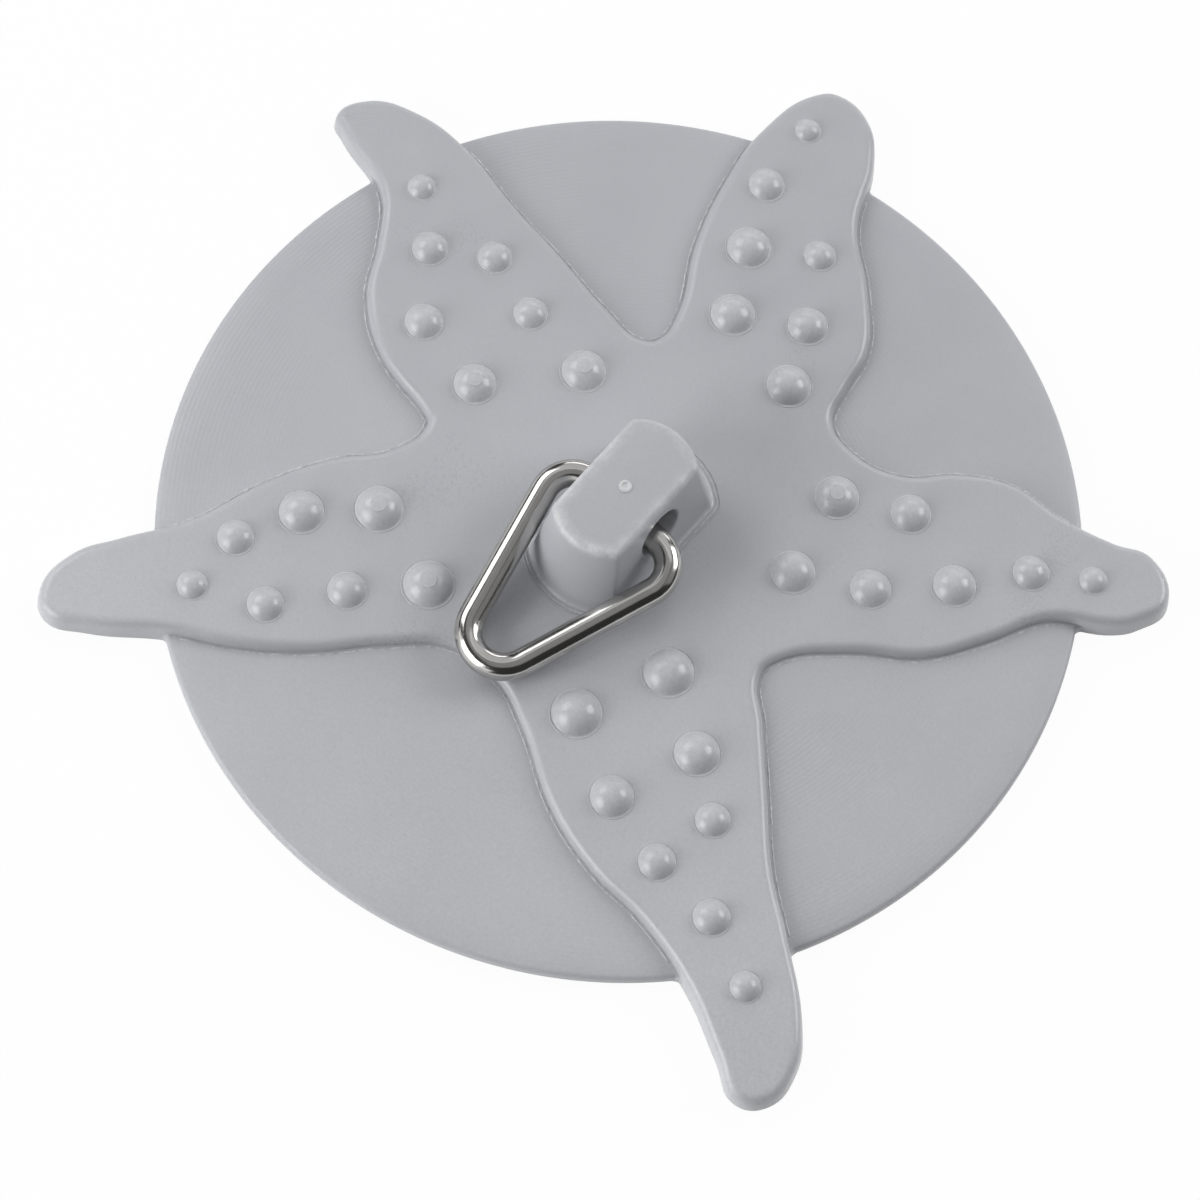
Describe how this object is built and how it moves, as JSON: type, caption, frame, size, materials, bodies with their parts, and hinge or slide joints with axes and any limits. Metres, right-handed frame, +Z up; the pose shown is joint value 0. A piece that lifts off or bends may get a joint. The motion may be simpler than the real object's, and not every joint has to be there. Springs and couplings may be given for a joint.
{
  "type": "drain stopper",
  "caption": "Flat rubber drain stopper with a raised starfish on its disc, low nubs on the arms, and a bent wire pull ring hinged through a knob in the middle.",
  "frame": {"origin": "middle of the sealing disc's flat underside", "axes": "+Z up from the flat underside towards the knob's top; X along the knob's cross hole; at rest the pull ring lies towards -Y"},
  "size_m": [0.109, 0.107, 0.0149],
  "materials": {
    "rubber": "satin",
    "ring_steel": "polished"
  },
  "bodies": {
    "stopper": {"stopper_body": "rubber"},
    "ring": {"pull_ring": "ring_steel"}
  },
  "joints": [
    {"name": "ring_swing", "type": "hinge", "parent": "stopper", "child": "ring", "pos_m": [0, -0.0003, 0.0094], "axis": [-1, 0, 0], "range_deg": [0, 198]}
  ]
}
